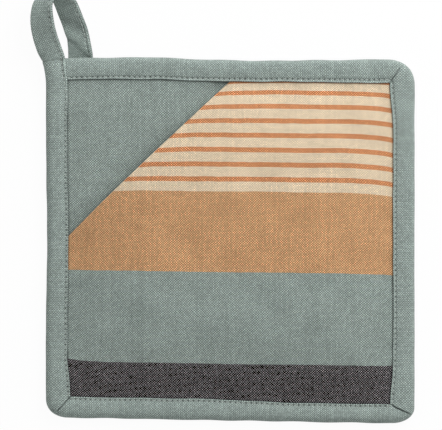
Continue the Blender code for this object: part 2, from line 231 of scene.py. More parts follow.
# Folds across the returning strand: distance from its end at the stitched edge, slope, width, how far
# they rise or dip as seen from the front, and how much painted light or shade they get.
BACK_FOLDS = (
    (0.0060, 1.31, 0.0014, -0.0003, -0.22),
    (0.0140, 1.15, 0.0036, 0.0003, 0.30),
    (0.0250, 1.00, 0.0034, -0.0003, -0.20),
)
# Shares of the loop's spread, reach and rise, and the lift of its stitched edge in degrees.
LOOP_COURSE = (
    (-0.13, 0.16, 0.57, 0),
    (-0.25, 0.33, 0.76, 4),
    (-0.335, 0.51, 0.93, 14),
    (-0.36, 0.69, 1.00, 28),
    (-0.31, 0.845, 0.95, 36),
    (-0.14, 0.96, 0.81, 38),
    (0.08, 1.00, 0.60, 36),
    (0.29, 0.94, 0.40, 30),
    (0.46, 0.84, 0.28, 22),
    (0.59, 0.71, 0.22, 20),
    (0.76, 0.53, 0.18, 24),
    (0.90, 0.34, 0.16, 25),
    (0.97, 0.17, 0.10, 15),
    (1.00, 0.02, 0.00, 3),
)

# Mesh steps: lengths, rows beside the tape, and counts round the mouth's fold, a corner, the tape's
# outside and its tight folds, and between two stations of the loop.
CLOTH_STEP = 0.0015
LOOP_STEP = 0.0005
NEAR_TAPE = (-0.0004, 0.0, 0.0003, 0.0007, 0.0012)
MOUTH_STEPS = 8
CORNER_STEPS = 40
ROUND_STEPS = 12
FOLD_STEPS = 6
COURSE_STEPS = 12
# Corners of a grid's quad, as steps down the rows and over the columns.
QUAD = ((0, 0), (0, 1), (1, 1), (1, 0))

# The photograph's view.
FRAME_WIDTH = 0.2399
VIEW_CENTRE = (-0.0050, 0.0133)
VIEW_HEIGHT = 2.2
SENSOR = 36.0

# Light: an even sky and two softboxes, as shares of the light on a level cloth in the middle.
SKY = 0.50
# How much of the floor shows as plain white, so that only a faint shadow is left.
FLOOR_WHITE = 0.95
FLOOR_REACH = 3.0
FLOOR_LEVEL = -0.0004
SOFTBOXES = (
    ("key_light", 0.38, (0.60, 0.62, 0.85), 0.95, 0.60),
    ("rim_light", 0.12, (0.20, 0.92, 0.34), 1.30, 0.60),
)


# Helpers for shapes. They take and return arrays.


def smoothstep(value):
    held = np.clip(value, 0.0, 1.0)
    return held * held * (3 - 2 * held)


def mix(low, high, share):
    return low + (high - low) * share


def ramp(value, start, end):
    """0 before the start and 1 past the end, smooth between them."""
    return smoothstep((value - start) / (end - start))


def bump(value, width):
    """1 at 0, falling smoothly to 0 over about this width on both sides."""
    return np.exp(-((value / width) ** 2))


def fading(distance, size, length):
    """A size that fades over about this length with the distance."""
    return size * np.exp(-np.maximum(distance, 0.0) / length)


def ripples(x, y, seed, length, height, count=9):
    """Soft unevenness: a sum of waves in all directions, about this long and this high."""
    draw = np.random.default_rng(seed)
    total = np.zeros(np.broadcast(x, y).shape)
    for _ in range(count):
        angle = draw.uniform(0, math.pi)
        wave = 2 * math.pi / (length * draw.uniform(0.7, 1.6))
        start = draw.uniform(0, 2 * math.pi)
        total += np.sin(wave * (x * math.cos(angle) + y * math.sin(angle)) + start)
    return total * height / math.sqrt(count)


def side_insets(x, y):
    """How far a place lies inside the left, right, top and bottom sides."""
    return x + PAD_WIDTH / 2, PAD_WIDTH / 2 - x, PAD_HEIGHT / 2 - y, y + PAD_HEIGHT / 2


def sewn_plan(x, y):
    """A place on the true rectangle moved to where the sewing leaves it."""
    right = np.clip(x / PAD_WIDTH, -0.5, 0.5)
    low = np.clip(0.5 - y / PAD_HEIGHT, 0.0, 1.0)
    near_left, _, near_top, _ = (1 - smoothstep(inset / EDGE_FADE) for inset in side_insets(x, y))
    sag = TOP_SAG * (1 - 4 * right * right) * (1 - low)
    bulge = TOP_BULGE * bump(x - TOP_BULGE_X, TOP_BULGE_SPREAD) * near_top
    drawn = LEFT_DRAW * bump(y, LEFT_DRAW_SPREAD) * near_left
    return x + drawn, y + bulge - sag - BOTTOM_DROP * right * low


def tape_wider(x, y):
    """How much further in than its width the tape's inner edge lies at the left, right, top and bottom."""
    near_top, near_bottom = (
        1 - smoothstep((inset - BINDING_WIDTH) / WIDER_FADE) for inset in side_insets(x, y)[2:]
    )
    right = WIDER_RIGHT_HIGH * near_top + WIDER_RIGHT_LOW * near_bottom
    top = WIDER_TOP * ramp(x, *WIDER_TOP_SPAN)
    bottom = WIDER_BOTTOM * ramp(x, *WIDER_BOTTOM_SPAN)
    return WIDER_LEFT_LOW * near_bottom, right, top, bottom


def along_tape(x, y):
    """A place on the true plan moved with the tape's inner edge, which the sewing leaves uneven."""
    left, right, top, bottom = (
        wider * smoothstep(inset / BINDING_WIDTH) * (1 - smoothstep((inset / BINDING_WIDTH - 1) / 3))
        for inset, wider in zip(side_insets(x, y), tape_wider(x, y))
    )
    return x + left - right, y - top + bottom


def swell(x, y, length):
    """0 under the tape, 1 once a place lies this far inside it from every side."""
    return math.prod(smoothstep((inset - BINDING_WIDTH) / length) for inset in side_insets(x, y))


def mouth_line():
    """A point on the mouth's fold, and the unit vectors along it and across it into the pocket."""
    top_end = np.array((MOUTH_ACROSS - PAD_WIDTH / 2, PAD_HEIGHT / 2 - BINDING_WIDTH))
    left_end = np.array((BINDING_WIDTH - PAD_WIDTH / 2, PAD_HEIGHT / 2 - MOUTH_DOWN))
    along = (top_end - left_end) / np.linalg.norm(top_end - left_end)
    return left_end, along, np.array((along[1], -along[0]))


def mouth_distance(x, y):
    """Distance from the mouth's fold, positive under the pocket."""
    point, _, across = mouth_line()
    return (x - point[0]) * across[0] + (y - point[1]) * across[1]


# Heights of the layers.


def back_height(x, y):
    return mix(BACK_RIM, 0.0, swell(x, y, RISE_LENGTH)) + CLOTH / 2


def lining_height(x, y):
    outside = smoothstep((-mouth_distance(x, y) - MOUTH_STEP / 2) / MOUTH_STEP)
    rim = mix(LINING_RIM, OPEN_LINING_RIM, outside)
    inside = swell(x, y, RISE_LENGTH)
    uneven = sum(ripples(x, y, *values) for values in LINING_RIPPLES)
    return mix(rim, LINING_MIDDLE, inside) + CLOTH / 2 + uneven * inside


def pocket_middle(x, y):
    """Middle of the pocket's two layers: on the lining at the seams, standing off it between them."""
    lining = mix(LINING_RIM, LINING_MIDDLE, swell(x, y, RISE_LENGTH)) + CLOTH
    inside = swell(x, y, CROWN_LENGTH)
    near = swell(x, y, RISE_LENGTH)
    uneven = sum(ripples(x, y, *values) for values in POCKET_RIPPLES)
    return lining + GAP + POCKET_THICK / 2 + CROWN * inside + uneven * near + seam_puckers(x, y)


def seam_puckers(x, y):
    """Small gathers that the topstitching draws up in the cloth next to the tape."""
    total = np.zeros(np.broadcast(x, y).shape)
    for inset, along, seed in zip(side_insets(x, y), (y, y, x, x), (11, 12, 14, 13)):
        near = bump(inset - BINDING_WIDTH - PUCKER_PLACE, PUCKER_SPREAD)
        total += near * ripples(along, 0.0 * along, seed, PUCKER_LENGTH, PUCKER_HEIGHT)
    return total


# Mesh makers.


def add_object(name, data):
    made = bpy.data.objects.new(name, data)
    bpy.context.scene.collection.objects.link(made)
    return made


def add_piece(name, mesh, material):
    mesh.materials.append(material)
    piece = add_object(name, mesh)
    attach(piece, "root")
    return piece


def mesh_from(name, points, faces, corner_uvs, shade):
    """A smooth mesh from points (n, 3), faces, and cloth coordinates in metres at the faces' corners.

    shade, one number for each point, is painted light and shade: how much of its brightness the cloth
    keeps there, less in a groove, a fold or a corner, where little light gets in, and more on a lit ridge.
    """
    mesh = bpy.data.meshes.new(name)
    mesh.from_pydata(points.tolist(), [], faces)
    layer = mesh.uv_layers.new(name="cloth")
    layer.data.foreach_set("uv", (corner_uvs / MM).astype(np.float32).ravel())
    kept = mesh.attributes.new("shade", "FLOAT", "POINT")
    kept.data.foreach_set("value", np.clip(shade, 0.1, 1.3).astype(np.float32).ravel())
    mesh.shade_smooth()
    return mesh


def grid_faces(rows, columns, wrap_rows=False, wrap_columns=False):
    """Corner indices of a grid's quads, as an array (rows, columns, 4)."""
    row_count = rows if wrap_rows else rows - 1
    column_count = columns if wrap_columns else columns - 1
    row, column = np.meshgrid(np.arange(row_count), np.arange(column_count), indexing="ij")
    faces = [((row + down) % rows) * columns + (column + over) % columns for down, over in QUAD]
    return np.stack(faces, axis=-1)


def plan_grid(inset, step):
    """A fine flat grid over the pad, this far inside its edge, with its corners drawn in round."""
    lines = []
    for size in (PAD_WIDTH, PAD_HEIGHT):
        half = size / 2 - inset
        tape_edge = size / 2 - BINDING_WIDTH
        even = np.linspace(-half, half, round(2 * half / step) + 1)
        near = tape_edge - np.array(NEAR_TAPE)
        clear = np.min(np.abs(np.abs(even)[:, None] - near[None, :]), axis=1) > 0.0002
        lines.append(np.sort(np.concatenate((even[clear], near, -near))))
    y, x = np.meshgrid(lines[1], lines[0], indexing="ij")
    for right, top, radius in CORNERS:
        beyond_x = right * x - (PAD_WIDTH / 2 - radius)
        beyond_y = top * y - (PAD_HEIGHT / 2 - radius)
        inside = (beyond_x > 0) & (beyond_y > 0) & (radius > inset)
        far = np.maximum(np.hypot(beyond_x, beyond_y), 1e-9)
        drawn = np.maximum(beyond_x, beyond_y) / far
        x = np.where(inside, right * (PAD_WIDTH / 2 - radius + beyond_x * drawn), x)
        y = np.where(inside, top * (PAD_HEIGHT / 2 - radius + beyond_y * drawn), y)
    return along_tape(x, y)


def flat_sheet(name, height, shade, step):
    """A cloth over the whole pad, one surface thick."""
    x, y = plan_grid(EDGE_INSET, step)
    faces = grid_faces(*x.shape).reshape(-1, 4)
    plan_x, plan_y = sewn_plan(x, y)
    points = np.stack((plan_x, plan_y, height(x, y)), axis=-1).reshape(-1, 3)
    coordinates = np.stack((x, y), axis=-1).reshape(-1, 2)
    return mesh_from(name, points, faces.tolist(), coordinates[faces], shade(x, y))


def beside_tape(x, y):
    """How much brightness a cloth keeps: painted shade darkens it right beside the tape, which stands up over
    it.
    """
    gaps = (inset - wider - BINDING_WIDTH for inset, wider in zip(side_insets(x, y), tape_wider(x, y)))
    return math.prod(1 - TAPE_SHADE * bump(np.maximum(gap, 0.0), TAPE_SHELTER) for gap in gaps)


def beside_mouth(x, y):
    """The same for the lining, with painted shade also where it lies in the shelter of the pocket's fold."""
    return beside_tape(x, y) * (1 - fading(-mouth_distance(x, y), MOUTH_SHADE, MOUTH_SHELTER))


def thicken(piece, thickness):
    solid = piece.modifiers.new("thickness", "SOLIDIFY")
    solid.thickness = thickness
    solid.offset = 0.0
    return piece


# The woven cloths' materials.


class Graph:
    """Short ways of adding linked shader nodes to a node tree."""

    FLAT = {"noise_dimensions": "2D"}

    def __init__(self, tree):
        self.tree = tree

    def put(self, socket, value):
        value = getattr(value, "socket", value)
        if isinstance(value, bpy.types.NodeSocket):
            self.tree.links.new(value, socket)
        else:
            socket.default_value = value

    def node(self, kind, settings=(), **values):
        made = self.tree.nodes.new(kind)
        for setting, value in dict(settings).items():
            setattr(made, setting, value)
        for name, value in values.items():
            self.put(made.inputs[name.replace("_", " ")], value)
        return made

    def number(self, kind, output, settings=(), **values):
        """An output of a new node."""
        return Number(self, self.node(kind, settings, **values).outputs[output])

    def vector(self, x, y):
        return self.number("ShaderNodeCombineXYZ", 0, X=x, Y=y)

    def blend(self, share, low, high, kind="MIX"):
        made = self.node("ShaderNodeMix", {"data_type": "RGBA", "blend_type": kind})
        for place, value in ((0, share), (6, low), (7, high)):
            self.put(made.inputs[place], value)
        return Number(self, made.outputs[2])

    def random(self, x, y):
        """A random number for each pair of whole numbers."""
        place = self.vector(x, y)
        return self.number("ShaderNodeTexWhiteNoise", "Value", self.FLAT, Vector=place)

    def noise(self, x, y, detail=2.0):
        place = self.vector(x, y)
        return self.number("ShaderNodeTexNoise", 0, self.FLAT, Vector=place, Scale=1.0, Detail=detail)


class Number:
    """An output of a shader node. Arithmetic and comparisons with it add linked math nodes."""

    def __init__(self, graph, socket):
        self.graph = graph
        self.socket = socket

    def math(self, operation, *others):
        made = self.graph.node("ShaderNodeMath", {"operation": operation})
        for socket, value in zip(made.inputs, (self, *others)):
            self.graph.put(socket, value)
        return Number(self.graph, made.outputs[0])

    def __add__(self, other):
        return self.math("ADD", other)

    def __sub__(self, other):
        return self.math("SUBTRACT", other)

    def __rsub__(self, other):
        return self.math("MULTIPLY_ADD", -1.0, other)

    def __mul__(self, other):
        return self.math("MULTIPLY", other)

    def __mod__(self, other):
        return self.math("FLOORED_MODULO", other)

    def __lt__(self, other):
        return self.math("LESS_THAN", other)

    def __gt__(self, other):
        return self.math("GREATER_THAN", other)

    __radd__ = __add__
    __rmul__ = __mul__


def about_one(value, amount):
    """Turns a number from 0 to 1 into a factor of 1 plus or minus this amount."""
    return (value - 0.5) * (2 * amount) + 1.0


def linear(colour):
    """An sRGB colour of 0 to 255 as a linear one."""
    values = [value / 255 for value in colour]
    curved = [v / 12.92 if v <= 0.04045 else ((v + 0.055) / 1.055) ** 2.4 for v in values]
    return (*curved, 1.0)


def count_threads(graph, across, running, pitch, drift, wander, bunching, start):
    """Which thread a place is on, with a fraction. The threads wander together and bunch up."""
    slow = graph.noise(across * drift[0], running * drift[1])
    fine = graph.noise(across * BUNCH_ACROSS, running * BUNCH_ALONG)
    return across * (MM / pitch) + slow * wander + (fine * bunching + start)


def thread_tone(graph, running, number, seed):
    """How light a thread is at a place along it: each has a tone of its own, and slubs."""
    own = graph.random(number, seed)
    return own * THREAD_VARIETY + graph.noise(running * SLUBS_ALONG, number * SLUBS_APART)


def weave_group():
    """Plain weave from cloth coordinates in millimetres.

    Over is 1 at the crossings where the warp thread is on top, and Away how far a place is from its
    crossing's middle, up to 0.5. Height is the threads' relief, Streak their uneven thickness, Cell a
    random number for each crossing, and Row the middle of the weft thread.
    """
    tree = bpy.data.node_groups.new("plain_weave", "ShaderNodeTree")
    for kind, names in (("INPUT", "Along Down"), ("OUTPUT", "Over Away Height Streak Cell Row")):
        for name in names.split():
            tree.interface.new_socket(name, in_out=kind, socket_type="NodeSocketFloat")
    graph = Graph(tree)
    given = graph.node("NodeGroupInput")
    along, down = (Number(graph, given.outputs[name]) for name in ("Along", "Down"))
    u = count_threads(graph, along, down, *WARP)
    v = count_threads(graph, down, along, *WEFT)
    column, row = u.math("FLOOR"), v.math("FLOOR")
    off_u, off_v = u - column - 0.5, v - row - 0.5
    over = (column + row) % 2.0 < 0.5
    # A thread on top arches along its run and is rounder across it.
    height_u = 1.0 - off_u * off_u * mix(THREAD_ARCH, THREAD_ROUND, over)
    height_v = 1.0 - off_v * off_v * mix(THREAD_ROUND, THREAD_ARCH, over)
    tone = mix(thread_tone(graph, along, row, 3.0), thread_tone(graph, down, column, 5.0), over)
    results = {
        "Over": over,
        "Away": off_u.math("ABSOLUTE").math("MAXIMUM", off_v.math("ABSOLUTE")),
        "Height": height_u * height_v,
        "Streak": about_one(tone - THREAD_VARIETY / 2, STREAKS),
        "Cell": graph.random(column, row),
        "Row": (row + 0.5) * (WEFT_PITCH / MM),
    }
    result = graph.node("NodeGroupOutput")
    for name, value in results.items():
        graph.put(result.inputs[name], value)
    return tree


def cloth_material(name, group, field, ribs=0.0, relief=0.09):
    """A matt woven cotton of one field, or of one that is a function of the graph, the row and a part.

    ribs is how much painted light and shade of a tape's cross ribs lighten and darken it, and relief the
    threads' in millimetres.
    """
    made = bpy.data.materials.new(name)
    made.use_nodes = True
    graph = Graph(made.node_tree)
    shader = made.node_tree.nodes["Principled BSDF"]
    place = graph.number("ShaderNodeUVMap", "UV", {"uv_map": "cloth"})
    spread = graph.node("ShaderNodeSeparateXYZ", Vector=place)
    along, down = (Number(graph, spread.outputs[name]) for name in ("X", "Y"))
    weave = graph.node("ShaderNodeGroup", {"node_tree": group}, Along=along, Down=down)
    over, away, height, streak, cell, row = (Number(graph, output) for output in weave.outputs)
    if callable(field):
        weft, warp, cover, grain = (field(graph, row, part) for part in range(4))
    else:
        weft, warp, cover, grain = field
    colour = graph.blend(over * (away < cover), weft, warp)
    cloud = graph.noise(along * CLOUD_RATE, down * CLOUD_RATE, 4.0)
    tone = streak * about_one(cloud, CLOUDS) * about_one(cell, grain)
    # Painted shade between the threads and painted light on their tops, by the threads' relief.
    tone = tone * mix(BETWEEN_THREADS, ON_THREADS, height)
    # Painted light and shade of the tape's cross ribs.
    if ribs:
        wave = (along * (2 * math.pi * MM / RIB_PITCH)).math("COSINE")
        tone = tone * (wave * ribs + 1.0)
    # The mesh's painted light and shade from its shade attribute.
    tone = tone * graph.number("ShaderNodeAttribute", "Fac", {"attribute_name": "shade"})
    graph.put(shader.inputs["Base Color"], graph.blend(1.0, colour, tone, "MULTIPLY"))
    shader.inputs["Roughness"].default_value = 0.85
    shader.inputs["Specular IOR Level"].default_value = 0.25
    shader.inputs["Sheen Weight"].default_value = 0.08
    bumped = graph.number("ShaderNodeBump", 0, Strength=0.6, Distance=relief * MM, Height=height)
    graph.put(shader.inputs["Normal"], bumped)
    return made


def plain_material(name, colour, roughness=0.8):
    made = bpy.data.materials.new(name)
    made.use_nodes = True
    shader = made.node_tree.nodes["Principled BSDF"]
    shader.inputs["Base Color"].default_value = linear(colour)
    shader.inputs["Roughness"].default_value = roughness
    return made


# The woven fields: weft, warp, how far from its crossing's middle a raised warp thread shows, and
# how uneven the crossings are.
CREAM = (linear((199, 181, 154)), linear((250, 228, 197)), 0.46, 0.10)
ORANGE = (linear((155, 83, 45)), linear((249, 182, 128)), 0.46, 0.16)
TAN = (linear((153, 111, 73)), linear((246, 196, 146)), 0.44, 0.16)
SAGE = (linear((106, 117, 112)), linear((184, 199, 192)), 0.44, 0.18)
CHARCOAL = (linear((14, 12, 13)), linear((232, 227, 230)), 0.23, 0.33)
TAPE_CLOTH = (linear((121, 133, 128)), linear((179, 193, 187)), 0.44, 0.20)
BATTING = (225, 221, 210)
SEWING_THREAD = (186, 196, 190)


def striped_field(graph, row, part):
    """One part of the field that a row belongs to, by the row's place in millimetres."""
    cream, orange, tan, sage, charcoal = (
        field[part] if part < 2 else (field[part],) * 3 + (1.0,)
        for field in (CREAM, ORANGE, TAN, SAGE, CHARCOAL)
    )
    in_stripe = (row - FIRST_STRIPE / MM) % (STRIPE_PITCH / MM)
    value = graph.blend(in_stripe < STRIPE_WIDTH / MM, cream, orange)
    for start, field in ((CREAM_END, tan), (TAN_END, sage), (SAGE_END, charcoal)):
        value = graph.blend(row > start / MM, value, field)
    return value


# The cloths.


def pocket_cloth_coordinates(x, y):
    """Place on the striped cloth. Its rows are drawn down at the mouth and the right and top seams,
    and up at the lower left."""
    down = PAD_HEIGHT / 2 - y
    left_gap, right_gap, top_gap, _ = (inset - BINDING_WIDTH for inset in side_insets(x, y))
    left_pull = fading(left_gap, *LEFT_PULL) * ramp(down, *LEFT_PULL_SPAN)
    right_pull = sum(fading(right_gap, *values) for values in RIGHT_PULLS)
    right_pull = right_pull * (1 - ramp(down, *RIGHT_PULL_SPAN))
    drawn = TOP_DRAW * np.clip(1 - top_gap / TOP_DRAW_REACH, 0, 1) ** 2
    top_pull = drawn + fading(top_gap, *TOP_PULL)
    mouth_pull = fading(mouth_distance(x, y), *MOUTH_PULL)
    wavy = ripples(x, y, *ROW_RIPPLES)
    return x + PAD_WIDTH / 2, down - right_pull - top_pull - mouth_pull + left_pull + wavy


def bowed(places):
    """Plan places with the mouth's fold bowed out a little between its sewn ends."""
    point, along, across = mouth_line()
    length = math.hypot(MOUTH_ACROSS - BINDING_WIDTH, MOUTH_DOWN - BINDING_WIDTH)
    share = np.clip((places - point) @ along / length, 0.0, 1.0)
    bow = fading(mouth_distance(*places.T), MOUTH_BOW * 4 * share * (1 - share), BOW_REACH)
    return places - across * bow[:, None]


def make_pocket(material):
    """The striped cloth, folded double at the mouth and sewn in at the other sides."""
    x, y = plan_grid(EDGE_INSET, CLOTH_STEP)
    faces = grid_faces(*x.shape).reshape(-1, 4)
    flat = bpy.data.meshes.new("flat_pocket")
    flat.from_pydata(np.stack((x, y, 0 * x), axis=-1).reshape(-1, 3).tolist(), [], faces.tolist())
    point, along, across = mouth_line()
    centre = POCKET_THICK / 2
    cut = bmesh.new()
    cut.from_mesh(flat)
    bmesh.ops.bisect_plane(
        cut,
        geom=list(cut.verts) + list(cut.edges) + list(cut.faces),
        dist=1e-7,
        plane_co=(*(point + across * centre), 0.0),
        plane_no=(*across, 0.0),
        clear_inner=True,
    )
    cut.verts.index_update()
    plan = np.array([vert.co[:2] for vert in cut.verts])
    polygons = [[vert.index for vert in face.verts] for face in cut.faces]
    edge = [index for index, place in enumerate(plan) if abs(mouth_distance(*place) - centre) < 1e-6]
    edge.sort(key=lambda index: float(plan[index] @ along))
    cut.free()
    bpy.data.meshes.remove(flat)

    radius = (POCKET_THICK - CLOTH) / 2
    middle = pocket_middle(plan[:, 0], plan[:, 1])
    count = len(plan)
    mirror_at = centre - radius * math.pi / 2

    def mirrored(places):
        beyond = mouth_distance(places[:, 0], places[:, 1]) - mirror_at
        return places - 2 * beyond[:, None] * across

    layers = [(plan, middle + radius, plan), (plan, middle - radius, mirrored(plan))]
    mouth_plan = plan[edge]
    mouth_middle = middle[edge]
    for step in range(1, MOUTH_STEPS):
        angle = math.pi * step / MOUTH_STEPS
        places = mouth_plan - across * radius * math.sin(angle)
        on_cloth = mouth_plan - across * radius * angle
        layers.append((places, mouth_middle + radius * math.cos(angle), on_cloth))
    places = np.concatenate([layer[0] for layer in layers])
    plan_x, plan_y = sewn_plan(*bowed(places).T)
    heights = np.concatenate([layer[1] for layer in layers])
    points = np.stack((plan_x, plan_y, heights), axis=-1)
    on_cloth = np.concatenate([layer[2] for layer in layers])
    coordinates = np.stack(pocket_cloth_coordinates(*on_cloth.T), axis=-1)

    everything = [list(face) for face in polygons]
    everything += [[index + count for index in reversed(face)] for face in polygons]
    rows = [list(edge)]
    for step in range(MOUTH_STEPS - 1):
        start = 2 * count + step * len(edge)
        rows.append(list(range(start, start + len(edge))))
    rows.append([index + count for index in edge])
    for above, below in zip(rows, rows[1:]):
        for place in range(len(edge) - 1):
            everything.append([above[place], above[place + 1], below[place + 1], below[place]])

    corners = np.array([index for face in everything for index in face])
    mesh = mesh_from("pocket_cloth", points, everything, coordinates[corners], beside_tape(*places.T))
    return thicken(add_piece("pocket_cloth", mesh, material), CLOTH)


def make_wadding(material):
    """The filling, a closed pad between the back and the lining, hidden by them and by the tape."""
    x, y = plan_grid(EDGE_INSET, 4 * CLOTH_STEP)
    rows, columns = x.shape
    plan_x, plan_y = sewn_plan(x, y)
    under = back_height(x, y) + CLOTH / 2 + GAP
    over = lining_height(x, y) - CLOTH / 2 - GAP
    faces = grid_faces(rows, columns).reshape(-1, 4)
    points = np.concatenate(
        [np.stack((plan_x, plan_y, height), axis=-1).reshape(-1, 3) for height in (over, under)]
    )
    index = np.arange(rows * columns).reshape(rows, columns)
    rim = np.concatenate((index[0, :], index[1:, -1], index[-1, -2::-1], index[-2::-1, 0]))
    here, there = rim[:-1], rim[1:]
    lower = rows * columns
    walls = np.stack((here, here + lower, there + lower, there), axis=-1)
    every = np.concatenate((faces, faces[:, ::-1] + lower, walls))
    coordinates = points[every][..., :2]
    mesh = mesh_from("wadding_pad", points, every.tolist(), coordinates, np.ones(len(points)))
    return add_piece("wadding_pad", mesh, material)


# The binding.


def arc_point(inset, corner, turn):
    right, up, radius = (np.array(values)[corner] for values in zip(*CORNERS))
    left_over = np.maximum(radius * (1 - inset / BINDING_WIDTH), 0.00005)
    angle = math.pi / 2 * (corner + turn)
    x = right * (PAD_WIDTH / 2 - inset - left_over) + left_over * np.cos(angle)
    y = up * (PAD_HEIGHT / 2 - inset - left_over) + left_over * np.sin(angle)
    return x, y


def ring_point(inset, corner, turn, along):
    """A place this far inside the edge: at a turn of a corner, or along the side after it."""
    start = arc_point(inset, corner, turn)
    end = arc_point(inset, (corner + 1) % 4, 0.0)
    return mix(start[0], end[0], along), mix(start[1], end[1], along)


def side_stitches(corner):
    """How many topstitches lie along the side after a corner."""
    length = PAD_WIDTH if corner in (0, 2) else PAD_HEIGHT
    return round((length - 2 * (BINDING_WIDTH - SEAM)) / STITCH_PITCH)


def ring_stations():
    """The binding's stations as arrays: corner, turn, share along the side, and stitches passed."""
    rows = []
    for corner in range(4):
        rows += [(corner, step / CORNER_STEPS, 0.0, 0.0) for step in range(CORNER_STEPS)]
        count = side_stitches(corner)
        steps = count * STATIONS_PER_STITCH
        rows += [(corner, 1.0, step / steps, count * step / steps) for step in range(steps)]
    corner, turn, along, stitch = np.array(rows).T
    return corner.astype(int), turn, along, stitch


def stitch_holes(stitch, seed):
    """How deep the thread pulls the tape in: 1 at each hole between two stitches, 0 between."""
    nearest = np.round(stitch)
    draw = np.random.default_rng(seed).uniform(0.65, 1.25, 400)
    return bump(stitch - nearest, 0.17) * draw[nearest.astype(int)]


def seam_place(corner, turn, along):
    """Distance of the seam from the tape's inner edge at a station of the binding."""
    starts, ends, _ = (np.array(values) for values in zip(*SEAMS))
    side = mix(starts[corner], ends[corner], along)
    return np.where(along > 0, side, mix(ends[corner - 1], starts[corner], turn))


def front_shape(from_edge, holes, seam, groove=GROOVE, ridge_at=RIDGE_AT):
    """Relief of the tape's face this far from its folded inner edge, on top of its plain level."""
    rounded = -TAPE / 2 * np.clip(1 - from_edge / EDGE_ROUND, 0, 1) ** 2
    ridge = RIDGE * bump(from_edge - ridge_at * seam, RIDGE_SPREAD)
    return rounded + ridge - (groove + HOLE * holes) * bump(from_edge - seam, GROOVE_SPREAD)


def front_shade(from_edge, holes, seam, groove):
    """Painted light and shade of the tape's face: darker at its edge, in the seam and holes, lighter on its
    ridge.
    """
    edge = 1 - EDGE_PAINTED_SHADE * np.clip(1 - from_edge / 0.0003, 0, 1)
    ridge = 1 + RIDGE_PAINTED_HIGHLIGHT * bump(from_edge - RIDGE_AT * seam, 0.3 * seam)
    line = 1 - groove * bump(from_edge - seam, 0.7 * GROOVE_SPREAD)
    hole = 1 - HOLE_PAINTED_SHADE * np.clip(holes, 0, 1.3) * bump(from_edge - seam, 0.9 * GROOVE_SPREAD)
    return edge * ridge * line * hole


def strip_padding(inset, x, y):
    """How far the filling rounds the tape's face up, this far in from the pad's edge."""
    fullness = np.sin(math.pi * np.clip(inset / (BINDING_WIDTH - SEAM), 0, 1)) ** 0.8
    return (BINDING_CROWN + ripples(x, y, *STRIP_RIPPLES)) * fullness


def under_lap(x, y):
    """How far the binding lies lower where the hanging loop starts over it."""
    across = smoothstep((BINDING_WIDTH - 0.0007 - (x + PAD_WIDTH / 2)) / 0.0015)
    start = PAD_HEIGHT / 2 - BINDING_WIDTH - 0.7 * LAP_FADE
    return LAP_SINK * across * smoothstep((y - start) / (0.5 * LAP_FADE))


def binding_profile():
    """Insets and heights of the tape's section, its length from the front edge, and its face:
    1 on the front, -1 on the back and 0 on the hidden inside."""
    face = [0.0, 0.0001, 0.0003, *np.arange(0.0005, 0.0022, 0.0002), 0.0025]
    face += list(np.linspace(0.0033, BINDING_WIDTH - BINDING_ROUND, 7))
    back = face[:1] + face[2:14:2] + face[14::2]
    rows = [(BINDING_WIDTH - a, BINDING_TOP, a, 1) for a in face]
    flat = face[-1]
    for step in range(1, ROUND_STEPS):
        angle = math.pi * step / ROUND_STEPS
        inset = BINDING_ROUND * (1 - math.sin(angle))
        height = BINDING_MIDDLE + BINDING_ROUND * math.cos(angle)
        rows.append((inset, height, flat + BINDING_ROUND * angle, 1 if step <= ROUND_STEPS / 2 else -1))
    whole = 2 * flat + BINDING_ROUND * math.pi
    rows += [(BINDING_WIDTH - a, BINDING_BOTTOM, whole - a, -1) for a in reversed(back)]
    inner = BINDING_ROUND - TAPE
    rows.append((BINDING_WIDTH - 0.0003, BINDING_BOTTOM + TAPE, whole, 0))
    for step in range(1, FOLD_STEPS):
        angle = math.pi * step / FOLD_STEPS
        inset = BINDING_ROUND - inner * math.sin(angle)
        rows.append((inset, BINDING_MIDDLE - inner * math.cos(angle), whole, 0))
    rows.append((BINDING_WIDTH - 0.0003, BINDING_TOP - TAPE, whole, 0))
    return (np.array(column) for column in zip(*rows))


def binding_surface(stations, inset, height, face):
    """Points of the binding, their places on the true plan and their painted light and shade.

    The stations and the section's rows broadcast against each other.
    """
    corner, turn, along, stitch = stations
    from_edge = BINDING_WIDTH - inset
    holes = stitch_holes(stitch, 31) * (along > 0)
    seam = seam_place(corner, turn, along)
    relief = front_shape(from_edge, holes, seam)
    seat_x, seat_y = ring_point(inset, corner, turn, along)
    padding = strip_padding(inset, seat_x, seat_y)
    front = relief + padding - under_lap(seat_x, seat_y)
    # The seam's groove, the holes and the tape's edge get painted shade, and its ridge a painted highlight.
    groove = np.array([values[2] for values in SEAMS])[corner]
    shade = np.where(face != 0, front_shade(from_edge, holes, seam, groove), 1.0)
    for index, (place, depth, width, reach) in MITRES.items():
        here = (corner == index) & (along == 0)
        fan = CORNERS[index][2] * np.maximum(1 - inset / BINDING_WIDTH, 0.02) * math.pi / 2
        nearness = np.where(here, bump(turn - place, np.maximum(0.6 / CORNER_STEPS, width / fan)), 0.0)
        lap = np.where(here & (turn > place), bump(turn - place, 0.25), 0.0)
        out = smoothstep((inset - reach + 0.001) / 0.002)
        front = front + (MITRE_LAP * lap - depth * nearness) * out
        # Painted shade along the mitre's crease.
        shade = shade * (1 - MITRE_PAINTED_SHADE * nearness * out * (face > 0))
    back = -relief - 0.35 * padding
    height = height + np.where(face > 0, front, 0.0) + np.where(face < 0, back, 0.0)
    wave = ripples(seat_x, seat_y, *EDGE_WAVES) * np.clip(1 - from_edge / 0.004, 0, 1)
    puff = ripples(seat_x, seat_y, *EDGE_PUFFS) * (inset < BINDING_ROUND)
    x, y = ring_point(np.maximum(inset + wave - puff, -0.0004), corner, turn, along)
    plan_x, plan_y = sewn_plan(*along_tape(x, y))
    return np.stack(np.broadcast_arrays(plan_x, plan_y, height), axis=-1), (x, y), shade


